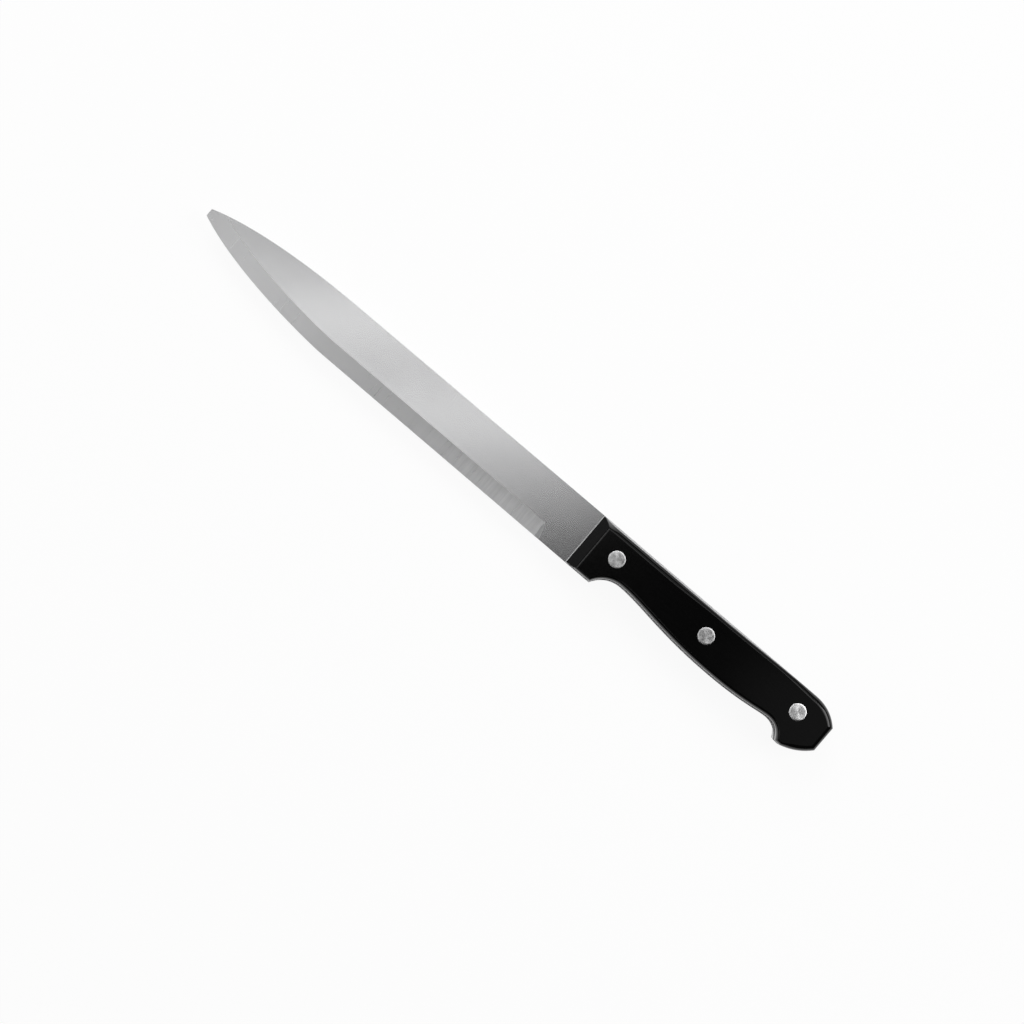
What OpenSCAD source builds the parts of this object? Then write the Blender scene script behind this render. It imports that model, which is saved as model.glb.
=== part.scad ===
// Carving knife: full-tang blade, two moulded handle scales and three two-piece rivets.
// It lies on its side: +X runs from the tip to the butt, +Y from the edge to the spine, +Z up.
// The origin is the middle of the lowest plane of the bounding box.

/* [Blade] */
// Length of the blade, from the front of the handle to the tip
blade_l = 199.2; // [195:0.1:205]
// Depth of the blade at its heel, from spine to edge
blade_w = 24.4; // [24:0.1:25]
// Thickness of the steel at the tang and the heel
blade_t = 1.8; // [1.7:0.1:2.2]
// Thickness of the steel that the taper leaves at the tip
tip_t = 1.6; // [1.4:0.05:1.65]
// Thickness of the cutting edge
edge_t = 0.3; // [0.2:0.05:0.5]
// Width of the ground bevel, square to the edge
bevel_w = 6.9; // [5:0.1:7.5]
// Where the ground bevel ends near the heel, in front of the handle
plunge_x = 17.7; // [15:0.1:20]

/* [Handle] */
// Length of the handle, from its front to the butt
handle_l = 123.7; // [122:0.1:126]
// Thickness of the handle over both scales
handle_t = 16; // [14:0.5:18]
// Width of the tang's edge that stands proud of the scales
ledge = 0.75; // [0.4:0.05:1.2]
// Length of the slope at the front of each scale
front_slope = 4.15; // [3:0.05:6]
// Width of the bevel along the top of each scale
top_bevel = 1.6; // [1:0.1:2.2]
// Width of the rounding around the pommel
pommel_round = 2.6; // [2:0.1:3]

/* [Rivets] */
// Distances of the rivets from the front of the handle
rivet_x = [14.5, 61.05, 108.2];
// Distances of the rivets below the spine
rivet_drop = [10.3, 10.45, 9.9];
// Diameter of a rivet head
head_d = 7.1; // [6:0.1:8]
// Thickness of a rivet head
head_h = 2.4; // [1.6:0.1:3]
// Outer diameter of the tube of the female half
tube_d = 5; // [4.4:0.1:5.4]
// Diameter of the pin of the male half
pin_d = 3.2; // [2.6:0.1:3.6]

/* [Hidden] */
$fn = 96;

// Outline of the blade, from the spine round the tip to the edge
spine_bend = 128;
spine_drop = 0.28;
tip_top = 8.4;
tip_bottom = 11.7;
edge_bend = 130;
edge_rise = 0.25;
// Points on the straight part of the edge where the bevel has a station
edge_stations = [-60, -100];
// How far the cutter of the bevel runs on past the tip
past_tip = 4;

// Outline of the handle's lower side, from the front to the butt
block_drop = 24.45;
choil_x = 12.2;
choil_arc_x = 22.9;
choil_arc_r = 12;
grip_drop = 17.87;
belly_x = 72;
belly_drop = 21.7;
hook_arc_x = 100.8;
hook_arc_r = 8.9;
hook_drop = 19.57;
hook_tip_drop = 24.55;
pommel_foot_x = 111.5;
pommel_foot_drop = 24.75;
butt_foot_drop = 17.3;
pommel_arc_r = 24.2;

// Outline of the handle's upper side at the butt
crown_x = 110.75;
crown_arc_r = 17.5;

// How far in front of the handle the steel starts to taper
taper_start = 0.3;
// Length of the bevel's run-out near the heel, at the flat and then added towards the edge
runout = 2.5;
runout_more = 1.7;
// Stretch of that run-out, from its outer end, over which the surface drops, and its steps
runout_drop = [0.05, 0.75];
runout_steps = 8;

// Stations of the outline that the scales are cut from, in front of the choil
front_xs = [-5, 0, 0.7, 1.4, 2.1, 2.8, 3.5, 4.2, 5, 6, 7, 8, 10];
// Height of a scale's upright wall along the belly and along the spine
belly_wall = 4.4;
spine_wall = 5.4;
// Widths of the rounding above that wall, under the front block, along the belly and at the hook
block_round = 1.1;
belly_round = 1.7;
hook_round = 1.3;
// Lean of that wall from its foot to its top
wall_lean = 0.05;
// How much lower the wall is at the butt, along the belly and along the spine
belly_dip = 0.8;
spine_dip = 1.6;
// Share of the tang's ledge that shows at the butt, under the front block and along the belly
ledge_at_butt = 0.15;
ledge_at_block = 0.6;
ledge_at_belly = 0.8;
// Stretches of the handle over which its side changes: where the tang's ledge begins at the
// spine, where the wall gets its height there, where the top bevel turns into a rounding, and
// where ledge, wall and rounding change towards the butt, above and below
ledge_begins = [-1, 7];
wall_begins = [-2, 9];
bevel_turns = [34, 62];
ledge_ends = [60, 108];
wall_ends = [98, 114];
round_grows = [90, 112];
belly_begins = [choil_x - 1, choil_x + 2];
belly_rounds = [choil_x, 19];
belly_ledge_ends = [104, 111];
belly_wall_ends = [106, 114];
hook_rounds = [100, 105];
pommel_rounds = [109, 117];
// Steps from the wall to the flat face
round_steps = 5;
// Clearance of the rivet tubes in the tang
tang_clear = 0.1;
// Room left at the end of a rivet's tube and of its pin
end_gap = 0.3;
// Overlap that a cutter has past what it cuts, its room outside the knife, and its least lift
cut = 1;
room = 10;
lift = 0.05;

half_t = blade_t / 2;
half_h = handle_t / 2;
taper = (blade_t - tip_t) / 2 / blade_l;
steel = [0.72, 0.73, 0.74];
plastic = [0.05, 0.05, 0.05];
rivet_metal = [0.8, 0.8, 0.78];

// Blend from 0 to 1 with soft ends as x goes through a stretch
function ease(x, stretch) =
    (1 - cos(180 * min(1, max(0, (x - stretch[0]) / (stretch[1] - stretch[0]))))) / 2;
function bezier(a, b, c, d, t) =
    a * pow(1 - t, 3) + 3 * b * t * pow(1 - t, 2) + 3 * c * t * t * (1 - t) + d * pow(t, 3);
function curve(a, b, c, d, n) = [for (i = [0:n]) bezier(a, b, c, d, i / n)];
function arc(centre, r, from, to, n) =
    [for (i = [0:n]) let (a = from + (to - from) * i / n) centre + r * [cos(a), sin(a)]];
function tail(list) = [for (i = [1:len(list) - 1]) list[i]];
function reversed(list) = [for (i = [len(list) - 1:-1:0]) list[i]];
function unit(v) = v / norm(v);
// Normal on the left of the way from a to b
function left_of(a, b) = unit([a.y - b.y, b.x - a.x]);
// Mitred normal at a corner with the neighbours a and c
function mitre(a, b, c) =
    let (n = left_of(a, b), m = left_of(b, c), s = n + m) s * 2 / (s * s);

// Angles at which the arcs of the lower side start and end
choil_angle = acos((choil_x - choil_arc_x) / choil_arc_r);
hook_angle = asin((hook_drop + hook_arc_r - hook_tip_drop) / hook_arc_r);
// Centre of the pommel's lower arc, which passes through the pommel's foot and the butt
pommel_a = [pommel_foot_x, -pommel_foot_drop];
pommel_b = [handle_l, -butt_foot_drop];
pommel_mid = (pommel_a + pommel_b) / 2;
pommel_half = norm(pommel_b - pommel_a) / 2;
pommel_c = pommel_mid + left_of(pommel_a, pommel_b) * sqrt(pow(pommel_arc_r, 2) - pow(pommel_half, 2));
pommel_from = atan2(pommel_a.y - pommel_c.y, pommel_a.x - pommel_c.x);
pommel_to = atan2(pommel_b.y - pommel_c.y, pommel_b.x - pommel_c.x);

// Lower side of the handle behind the choil corner
lower_side = concat(
    arc([choil_arc_x, -grip_drop - choil_arc_r], choil_arc_r, choil_angle, 90, 9),
    tail(curve([choil_arc_x, -grip_drop], [34.6, -grip_drop], [46.5, -belly_drop], [belly_x, -belly_drop], 14)),
    tail(curve([belly_x, -belly_drop], [89.6, -belly_drop], [96.8, -hook_drop], [hook_arc_x, -hook_drop], 10)),
    tail(arc([hook_arc_x, -hook_drop - hook_arc_r], hook_arc_r, 90, hook_angle, 8)),
    arc(pommel_c, pommel_arc_r, pommel_from, pommel_to, 9));
// Drop of the upper side at x
function crown(x) = x < crown_x ? 0 : sqrt(pow(crown_arc_r, 2) - pow(x - crown_x, 2)) - crown_arc_r;
upper_side = [for (p = lower_side) [p.x, crown(p.x)]];

// Blade outline from the front of the handle along the spine to the tip, and back along the edge
spine_side = curve([-spine_bend, -spine_drop], [-155, -spine_drop],
    [-blade_l + 17, -tip_top + 5.8], [-blade_l, -tip_top], 20);
edge_side = curve([-edge_bend, -blade_w + edge_rise], [-147.3, -blade_w + 1],
    [-blade_l + 19, -tip_bottom - 8.3], [-blade_l, -tip_bottom], 24);

// Everything is drawn with the front of the handle at x = 0, the spine at y = 0 and the
// middle of the steel at z = 0, and then moved so that the origin is under the middle.
module place() {
    translate([(blade_l - handle_l) / 2, pommel_foot_drop / 2, half_h]) children();
}

// Cutter that leaves the ground bevel on one side of the blade
module bevel_cutter() {
    // Points of the edge from the heel to past the tip, each with its mitred normal
    last = len(edge_side) - 1;
    beyond = edge_side[last] + past_tip * unit(edge_side[last] - edge_side[last - 1]);
    run = concat([for (x = edge_stations) [x, -blade_w - edge_rise * x / edge_bend]], edge_side, [beyond]);
    start = [-plunge_x, -blade_w + edge_rise * plunge_x / edge_bend];
    way = concat([start], run);
    n = len(way);
    inward = [for (i = [0:n - 1])
        -mitre(way[max(0, i - 1)] + (i == 0 ? [1, 0] : [0, 0]), way[i], way[min(n - 1, i + 1)]
            + (i == n - 1 ? unit(beyond - edge_side[last]) : [0, 0]))];
    // Fractions of the bevel's width, from outside the edge to above the flat
    rows = [-0.12, 0.25, 0.5, 0.75, 1, 1.08];
    // Steps of the run-out near the heel, where the bevel rises to the flat
    rise = [for (k = [0:runout_steps - 1]) k / runout_steps];
    bed = concat(
        [for (k = rise) [for (f = rows) let (
            depth = ease(k, runout_drop),
            x = -plunge_x + (1 - k) * (runout + runout_more * max(0, 1 - f)),
            y = start.y + f * bevel_w,
            z = edge_t / 2 + (half_t - edge_t / 2) * f)
            [x, y, z * depth + (half_t + lift) * (1 - depth)]]],
        [for (i = [0:n - 1]) [for (f = rows) let (
            p = way[i] + inward[i] * f * bevel_w,
            t = half_t + taper * p.x)
            [p.x, p.y, edge_t / 2 + (t - edge_t / 2) * f]]]);
    m = len(rows);
    stations = len(bed);
    roof = half_t + cut;
    points = concat(
        [for (s = bed) each s],
        [for (s = bed) each [for (p = s) [p.x, p.y, roof]]]);
    upper = stations * m;
    polyhedron(points, concat(
        [for (i = [0:stations - 2], j = [0:m - 2])
            [i * m + j, i * m + j + 1, (i + 1) * m + j + 1, (i + 1) * m + j]],
        [for (i = [0:stations - 2], j = [0:m - 2])
            [upper + (i + 1) * m + j, upper + (i + 1) * m + j + 1, upper + i * m + j + 1, upper + i * m + j]],
        [for (i = [0:stations - 2]) [i * m, (i + 1) * m, upper + (i + 1) * m, upper + i * m]],
        [for (i = [0:stations - 2]) let (a = i * m + m - 1) [a + m, a, upper + a, upper + a + m]],
        [for (j = [0:m - 2]) [j + 1, j, upper + j, upper + j + 1]],
        [for (j = [0:m - 2]) let (a = (stations - 1) * m + j) [a, a + 1, upper + a + 1, upper + a]]));
}

// Cutter that thins one side of the blade towards the tip
module taper_cutter() {
    translate([-taper_start, 0, half_t])
        rotate([0, -atan(taper), 0])
            translate([-blade_l - room, -blade_w - room, 0])
                cube([blade_l + room, blade_w + 2 * room, room]);
}

// What is ground off one side of the blade
module side_cutters() {
    taper_cutter();
    bevel_cutter();
}

module steel_outline() {
    polygon(concat(
        [[0, 0]],
        spine_side,
        reversed(edge_side),
        [[0, -blade_w], [0, -block_drop]],
        lower_side,
        reversed(upper_side)));
}

module blade() {
    color(steel) place() difference() {
        translate([0, 0, -half_t]) linear_extrude(blade_t) steel_outline();
        side_cutters();
        mirror([0, 0, 1]) side_cutters();
        for (i = [0:2]) translate([rivet_x[i], -rivet_drop[i], -blade_t])
            cylinder(d = tube_d + 2 * tang_clear, h = 2 * blade_t);
    }
}

// Outline that a scale is made from, front to butt, below and above
low_line = concat([for (x = front_xs) [x, -block_drop]], lower_side);
high_line = concat([for (x = front_xs) [x, 0]], upper_side);
chain = len(low_line);
rim = concat(low_line, reversed(high_line));

// Shape of a scale's side at a point of the outline, as [foot, wall, width, roundness]:
// how far its foot is from the tang's edge, how high the wall stands, how wide the rounding
// above it is, and whether that is a flat bevel (0) or a round one (1)
function side_above(x) = [
    ledge * ease(x, ledge_begins) * (1 - (1 - ledge_at_butt) * ease(x, ledge_ends)),
    max(0.01, spine_wall * ease(x, wall_begins)) - spine_dip * ease(x, wall_ends),
    top_bevel + (1 - ease(x, ledge_begins)) * ledge + (pommel_round - top_bevel) * ease(x, round_grows),
    ease(x, bevel_turns)];
function side_below(x) = [
    ledge * (ledge_at_block + (ledge_at_belly - ledge_at_block) * ease(x, belly_begins))
        * (1 - (1 - ledge_at_butt) * ease(x, belly_ledge_ends)),
    belly_wall - belly_dip * ease(x, belly_wall_ends),
    block_round + (belly_round - block_round) * ease(x, belly_rounds)
        - (belly_round - hook_round) * ease(x, hook_rounds)
        + (pommel_round - hook_round) * ease(x, pommel_rounds),
    1];

// One scale, with its foot on the tang's upper face
module scale_body() {
    n = len(rim);
    normals = [for (i = [0:n - 1]) mitre(rim[(i + n - 1) % n], rim[i], rim[(i + 1) % n])];
    sides = [for (i = [0:n - 1]) i < chain ? side_below(rim[i].x) : side_above(rim[i].x)];
    levels = round_steps + 2;
    points = [for (k = [0:levels - 1], i = [0:n - 1]) let (
        s = sides[i],
        t = max(0, k - 1) / round_steps,
        out = s[3] * (1 - cos(90 * t)) + (1 - s[3]) * t,
        up = s[3] * sin(90 * t) + (1 - s[3]) * t,
        inset = s[0] + (k == 0 ? 0 : wall_lean + s[2] * out),
        z = k == 0 ? half_t : half_t + s[1] + (half_h - half_t - s[1]) * up)
        [rim[i].x + normals[i].x * inset, rim[i].y + normals[i].y * inset, z]];
    top = (levels - 1) * n;
    polyhedron(points, concat(
        [for (k = [0:levels - 2], i = [0:n - 1]) let (j = (i + 1) % n)
            [k * n + j, k * n + i, (k + 1) * n + i, (k + 1) * n + j]],
        [for (i = [0:chain - 2]) [i, i + 1, n - 2 - i, n - 1 - i]],
        [for (i = [0:chain - 2]) [top + i + 1, top + i, top + n - 1 - i, top + n - 2 - i]]));
}

module scale_half() {
    difference() {
        scale_body();
        // Slope at the front, which rises from the tang's face
        translate([0, cut, half_t])
            rotate([0, atan2(front_slope, half_h - half_t), 0])
                translate([-2 * room, -block_drop - 2 * cut, -2 * room])
                    cube([2 * room, block_drop + 2 * cut, 4 * room]);
        for (i = [0:2]) translate([rivet_x[i], -rivet_drop[i], 0]) {
            cylinder(d = tube_d, h = handle_t);
            translate([0, 0, half_h - head_h]) cylinder(d = head_d, h = head_h + cut);
        }
    }
}

module scale_left() {
    color(plastic) place() scale_half();
}

module scale_right() {
    color(plastic) place() mirror([0, 0, 1]) scale_half();
}

// Half with the tube, its head up
module rivet_female(i) {
    reach = handle_t - 2 * head_h - end_gap;
    color(rivet_metal) place() translate([rivet_x[i], -rivet_drop[i], 0]) difference() {
        union() {
            translate([0, 0, half_h - head_h]) cylinder(d = head_d, h = head_h);
            translate([0, 0, half_h - head_h - reach]) cylinder(d = tube_d, h = reach);
        }
        translate([0, 0, half_h - head_h - reach - cut]) cylinder(d = pin_d, h = reach + cut);
    }
}

// Half with the pin, its head down
module rivet_male(i) {
    reach = handle_t - 2 * head_h - end_gap;
    color(rivet_metal) place() translate([rivet_x[i], -rivet_drop[i], 0]) union() {
        translate([0, 0, -half_h]) cylinder(d = head_d, h = head_h);
        translate([0, 0, -half_h + head_h]) cylinder(d = pin_d, h = reach);
    }
}

module rivet_front_female() { rivet_female(0); }
module rivet_front_male() { rivet_male(0); }
module rivet_middle_female() { rivet_female(1); }
module rivet_middle_male() { rivet_male(1); }
module rivet_rear_female() { rivet_female(2); }
module rivet_rear_male() { rivet_male(2); }

blade();
scale_left();
scale_right();
rivet_front_female();
rivet_front_male();
rivet_middle_female();
rivet_middle_male();
rivet_rear_female();
rivet_rear_male();
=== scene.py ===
import math

import bmesh
import bpy
from mathutils import Matrix, Vector


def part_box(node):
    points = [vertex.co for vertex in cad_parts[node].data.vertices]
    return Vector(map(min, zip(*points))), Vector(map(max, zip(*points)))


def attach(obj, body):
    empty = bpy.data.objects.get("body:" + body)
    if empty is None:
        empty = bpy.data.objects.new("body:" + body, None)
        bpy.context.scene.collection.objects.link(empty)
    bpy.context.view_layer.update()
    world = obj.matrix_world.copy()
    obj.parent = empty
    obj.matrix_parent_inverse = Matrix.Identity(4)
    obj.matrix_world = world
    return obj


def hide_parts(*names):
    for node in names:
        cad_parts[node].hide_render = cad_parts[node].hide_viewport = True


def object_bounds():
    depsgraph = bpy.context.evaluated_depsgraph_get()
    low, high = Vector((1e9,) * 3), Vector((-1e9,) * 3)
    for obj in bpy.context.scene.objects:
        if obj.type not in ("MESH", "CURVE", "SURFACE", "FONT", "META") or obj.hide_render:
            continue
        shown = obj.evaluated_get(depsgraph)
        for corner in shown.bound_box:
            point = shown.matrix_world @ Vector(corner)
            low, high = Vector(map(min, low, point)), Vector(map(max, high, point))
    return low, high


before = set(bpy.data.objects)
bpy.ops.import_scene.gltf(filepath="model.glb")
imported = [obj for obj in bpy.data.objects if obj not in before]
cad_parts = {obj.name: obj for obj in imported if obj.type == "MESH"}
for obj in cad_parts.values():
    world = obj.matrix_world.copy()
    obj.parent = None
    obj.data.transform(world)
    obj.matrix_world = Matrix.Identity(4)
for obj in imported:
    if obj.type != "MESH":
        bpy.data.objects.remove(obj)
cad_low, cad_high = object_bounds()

MM = 0.001

# Sizes of the knife in millimetres, as in the CAD source. They are measured from the front of
# the handle (x, towards the butt), the spine (y, up) and the middle of the steel (z).

# The blade: its length, depth and thicknesses, the width of the ground bevel, where it ends near
# the heel, and where the steel starts to taper towards the tip
BLADE_L = 199.2
BLADE_W = 24.4
BLADE_T = 1.8
TIP_T = 1.6
EDGE_T = 0.3
BEVEL_W = 6.9
PLUNGE_X = 17.7
TAPER_START = -0.3
# The handle: its length and thickness, the ledge of steel round it, the length of its sloping
# front, and the width of its shoulder along the spine and round the pommel
HANDLE_L = 123.7
HANDLE_T = 16.0
LEDGE = 0.75
FRONT_SLOPE = 4.15
TOP_BEVEL = 1.6
POMMEL_ROUND = 2.6
# The rivets: the middle of each, their heads, tubes and pins, the gap left past the ends of the
# tubes and pins, and the room that the tubes have in the tang
RIVETS = {"front": (14.5, -10.3), "middle": (61.05, -10.45), "rear": (108.2, -9.9)}
HEAD_D = 7.1
HEAD_H = 2.4
TUBE_D = 5.0
PIN_D = 3.2
END_GAP = 0.3
TANG_CLEAR = 0.1

# The blade's outline: where the spine and the edge start to bend and how far they have moved by
# then, the two corners of the blunt tip, and the middle control points of both curves
SPINE_BEND = 128.0
SPINE_DROP = 0.28
TIP_TOP = 8.4
TIP_BOTTOM = 11.7
EDGE_BEND = 130.0
EDGE_RISE = 0.25
SPINE_PULLS = ((-155, -SPINE_DROP), (17 - BLADE_L, 5.8 - TIP_TOP))
EDGE_PULLS = ((-147.3, 1 - BLADE_W), (19 - BLADE_L, -TIP_BOTTOM - 8.3))
# The handle's outline: the front block, the choil, the grip, the belly, the hook, the pommel and
# the crown. The pulls are the places along x of the middle control points of its two curves.
BLOCK_DROP = 24.45
CHOIL_X = 12.2
CHOIL_ARC_X = 22.9
CHOIL_ARC_R = 12.0
GRIP_DROP = 17.87
GRIP_PULLS = (34.6, 46.5)
BELLY_X = 72.0
BELLY_DROP = 21.7
WAIST_PULLS = (89.6, 96.8)
HOOK_ARC_X = 100.8
HOOK_ARC_R = 8.9
HOOK_DROP = 19.57
HOOK_TIP_DROP = 24.55
POMMEL_FOOT_X = 111.5
POMMEL_FOOT_DROP = 24.75
BUTT_FOOT_DROP = 17.3
POMMEL_ARC_R = 24.2
CROWN_X = 110.75
CROWN_ARC_R = 17.5

# Height of a scale's upright wall along the belly and along the spine
BELLY_WALL = 4.4
SPINE_WALL = 5.4
# How much lower the wall is at the butt, along the belly and along the spine, and how far it leans
BELLY_DIP = 0.8
SPINE_DIP = 1.6
WALL_LEAN = 0.05
# Width of the shoulder above the wall, under the front block, along the belly and at the hook
BLOCK_ROUND = 1.1
BELLY_ROUND = 1.7
HOOK_ROUND = 1.3
# Share of the tang's ledge that shows at the butt, under the front block and along the belly
LEDGE_AT_BUTT = 0.15
LEDGE_AT_BLOCK = 0.6
LEDGE_AT_BELLY = 0.8
# Stretches of the handle over which its side changes: where the tang's ledge begins at the
# spine, where the wall gets its height there, where the top bevel turns into a rounding, and
# where ledge, wall and rounding change towards the butt, above and below
LEDGE_BEGINS = (-1, 7)
WALL_BEGINS = (-2, 9)
BEVEL_TURNS = (34, 62)
LEDGE_ENDS = (60, 108)
WALL_ENDS = (98, 114)
ROUND_GROWS = (90, 112)
BELLY_BEGINS = (CHOIL_X - 1, CHOIL_X + 2)
BELLY_ROUNDS = (CHOIL_X, 19)
BELLY_LEDGE_ENDS = (104, 111)
BELLY_WALL_ENDS = (106, 114)
HOOK_ROUNDS = (100, 105)
POMMEL_ROUNDS = (109, 117)

HALF_T = BLADE_T / 2
HALF_H = HANDLE_T / 2
TAPER = (BLADE_T - TIP_T) / 2 / BLADE_L
TUBE_REACH = HANDLE_T - 2 * HEAD_H - END_GAP

# How near two places lie that count as the same, and two points that are merged
NEAR = 0.01
MERGE = 0.0005
# Overlap that a cutter has past what it cuts, and its lift over a surface that it leaves alone
OVERLAP = 1
LIFT = 0.05
# Sides of a full circle
ROUND_SIDES = 96

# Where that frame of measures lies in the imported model, in metres
steel_low, steel_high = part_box("blade")
HANDLE_FRONT = steel_low.x + BLADE_L * MM
SPINE = steel_high.y
MIDDLE = (steel_low.z + steel_high.z) / 2


def place(x, y, z):
    """A point given in the knife's own millimetres, in the frame of the model."""
    return Vector((HANDLE_FRONT + x * MM, SPINE + y * MM, MIDDLE + z * MM))


# Curves of the outline


def ease(x, stretch):
    """Soft blend from 0 to 1 as x goes through the stretch."""
    start, end = stretch
    t = min(1.0, max(0.0, (x - start) / (end - start)))
    return (1 - math.cos(math.pi * t)) / 2


def curve(a, b, c, d, steps):
    """Points of a Bezier curve from a to d."""
    points = []
    for i in range(steps + 1):
        t = i / steps
        weights = ((1 - t) ** 3, 3 * t * (1 - t) ** 2, 3 * t * t * (1 - t), t**3)
        points.append(tuple(sum(w * p[k] for w, p in zip(weights, (a, b, c, d))) for k in (0, 1)))
    return points


def arc(centre, radius, start, end, steps, whole=()):
    """Points of an arc, its angles in degrees. Each step is halved, except those numbered in whole,
    which lie at a sharp corner, where closer points would cross once they are moved inwards."""
    shares = [0.0]
    for i in range(steps):
        shares += [(i + 1) / steps] if i in whole else [(i + 0.5) / steps, (i + 1) / steps]
    angles = [math.radians(start + (end - start) * share) for share in shares]
    return [(centre[0] + radius * math.cos(a), centre[1] + radius * math.sin(a)) for a in angles]


def left_of(a, b):
    """Unit normal on the left of the way from a to b."""
    return Vector((a[1] - b[1], b[0] - a[0])).normalized()


def mitre(a, b, c):
    """Normal at the corner b that keeps both walls at the same distance."""
    both = left_of(a, b) + left_of(b, c)
    return both * 2 / both.length_squared


def lower_side():
    """Lower outline of the handle, from the choil corner to the butt."""
    choil_angle = math.degrees(math.acos((CHOIL_X - CHOIL_ARC_X) / CHOIL_ARC_R))
    choil_centre = (CHOIL_ARC_X, -GRIP_DROP - CHOIL_ARC_R)
    choil = arc(choil_centre, CHOIL_ARC_R, choil_angle, 90, steps=9, whole=(0, 1))
    grip_start = (CHOIL_ARC_X, -GRIP_DROP)
    belly = (BELLY_X, -BELLY_DROP)
    grip = curve(grip_start, (GRIP_PULLS[0], -GRIP_DROP), (GRIP_PULLS[1], -BELLY_DROP), belly, steps=28)
    hook_start = (HOOK_ARC_X, -HOOK_DROP)
    waist = curve(belly, (WAIST_PULLS[0], -BELLY_DROP), (WAIST_PULLS[1], -HOOK_DROP), hook_start, steps=20)
    hook_angle = math.degrees(math.asin((HOOK_DROP + HOOK_ARC_R - HOOK_TIP_DROP) / HOOK_ARC_R))
    hook_centre = (HOOK_ARC_X, -HOOK_DROP - HOOK_ARC_R)
    hook = arc(hook_centre, HOOK_ARC_R, 90, hook_angle, steps=8, whole=(6, 7))
    foot = Vector((POMMEL_FOOT_X, -POMMEL_FOOT_DROP))
    butt = Vector((HANDLE_L, -BUTT_FOOT_DROP))
    half = (butt - foot).length / 2
    centre = (foot + butt) / 2 + left_of(foot, butt) * math.sqrt(POMMEL_ARC_R**2 - half**2)
    start, end = (math.degrees(math.atan2(p.y, p.x)) for p in (foot - centre, butt - centre))
    pommel = arc(centre, POMMEL_ARC_R, start, end, steps=9, whole=(0, 1, 7, 8))
    return choil + grip[1:] + waist[1:] + hook[1:] + pommel


def crown(x):
    """Height of the upper outline at x, which falls towards the butt."""
    return 0.0 if x < CROWN_X else math.sqrt(CROWN_ARC_R**2 - (x - CROWN_X) ** 2) - CROWN_ARC_R


def edge_line():
    """Curved part of the cutting edge, from the straight part to the tip."""
    return curve((-EDGE_BEND, EDGE_RISE - BLADE_W), *EDGE_PULLS, (-BLADE_L, -TIP_BOTTOM), steps=40)


def spine_line():
    """Curved part of the spine, from the straight part to the tip."""
    return curve((-SPINE_BEND, -SPINE_DROP), *SPINE_PULLS, (-BLADE_L, -TIP_TOP), steps=32)


# Modelling by hand


def deselect():
    bpy.ops.object.select_all(action="DESELECT")


def take(obj):
    """Makes obj the only selected and the active one."""
    deselect()
    obj.select_set(True)
    bpy.context.view_layer.objects.active = obj
    return obj


def edit(obj, mode="VERT"):
    """Enters edit mode with nothing selected."""
    take(obj)
    bpy.ops.object.mode_set(mode="EDIT")
    bpy.ops.mesh.select_mode(type=mode)
    bpy.ops.mesh.select_all(action="DESELECT")


def leave_edit():
    bpy.ops.object.mode_set(mode="OBJECT")


def pick(obj, kind, wanted):
    """In edit mode, selects the vertices, edges or faces that wanted() says yes to."""
    mesh = bmesh.from_edit_mesh(obj.data)
    for element in getattr(mesh, kind):
        if wanted(element):
            element.select_set(True)
    mesh.select_flush_mode()
    bmesh.update_edit_mesh(obj.data)


def pick_rows(obj, first, last):
    """In edit mode, selects the vertices numbered first to last - 1 and nothing else."""
    bpy.ops.mesh.select_all(action="DESELECT")
    pick(obj, "verts", lambda v: first <= v.index < last)


def trace(name, rows, closed):
    """A wire of one or more rows of points, each drawn by extruding one vertex from point to point."""
    deselect()
    bpy.ops.mesh.primitive_plane_add(size=MM, location=(0, 0, 0))
    obj = bpy.context.object
    obj.name = obj.data.name = name
    edit(obj)
    bpy.ops.mesh.select_all(action="SELECT")
    bpy.ops.mesh.merge(type="CENTER")
    bpy.ops.transform.translate(value=rows[0][0])
    here = rows[0][0]
    for number, row in enumerate(rows):
        if number:
            bpy.ops.mesh.duplicate_move(TRANSFORM_OT_translate={"value": row[0] - here})
            here = row[0]
        for point in row[1:]:
            bpy.ops.mesh.extrude_vertices_move(TRANSFORM_OT_translate={"value": point - here})
            here = point
    if closed:
        count = len(rows[0])
        for number in range(len(rows)):
            ends = (number * count, (number + 1) * count - 1)
            bpy.ops.mesh.select_all(action="DESELECT")
            pick(obj, "verts", lambda v: v.index in ends)
            bpy.ops.mesh.edge_face_add()
    return obj


def bridge_rows(obj, count, rows):
    """Bridges each row of count vertices to the next."""
    for number in range(rows - 1):
        pick_rows(obj, number * count, (number + 2) * count)
        bpy.ops.mesh.bridge_edge_loops()


def extrude(x, y, z):
    """Extrudes what is selected by a way in metres."""
    bpy.ops.mesh.extrude_region_move(TRANSFORM_OT_translate={"value": (x, y, z)})


def close_seams():
    """In edit mode, merges doubled points and turns all faces outwards."""
    bpy.ops.mesh.select_all(action="SELECT")
    bpy.ops.mesh.remove_doubles(threshold=MERGE * MM)
    bpy.ops.mesh.normals_make_consistent(inside=False)


def apply_modifier(obj, kind, **settings):
    take(obj)
    modifier = obj.modifiers.new(kind.title(), kind)
    for key, value in settings.items():
        setattr(modifier, key, value)
    bpy.ops.object.modifier_apply(modifier=modifier.name)


def cut_away(obj, *cutters):
    """Takes the cutters out of obj and deletes them."""
    for cutter in cutters:
        apply_modifier(obj, "BOOLEAN", operation="DIFFERENCE", object=cutter, solver="EXACT")
        bpy.data.objects.remove(cutter)


def copy_of(obj, name):
    """A copy with a mesh of its own."""
    take(obj)
    bpy.ops.object.duplicate()
    made = bpy.context.object
    made.name = made.data.name = name
    return made


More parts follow.
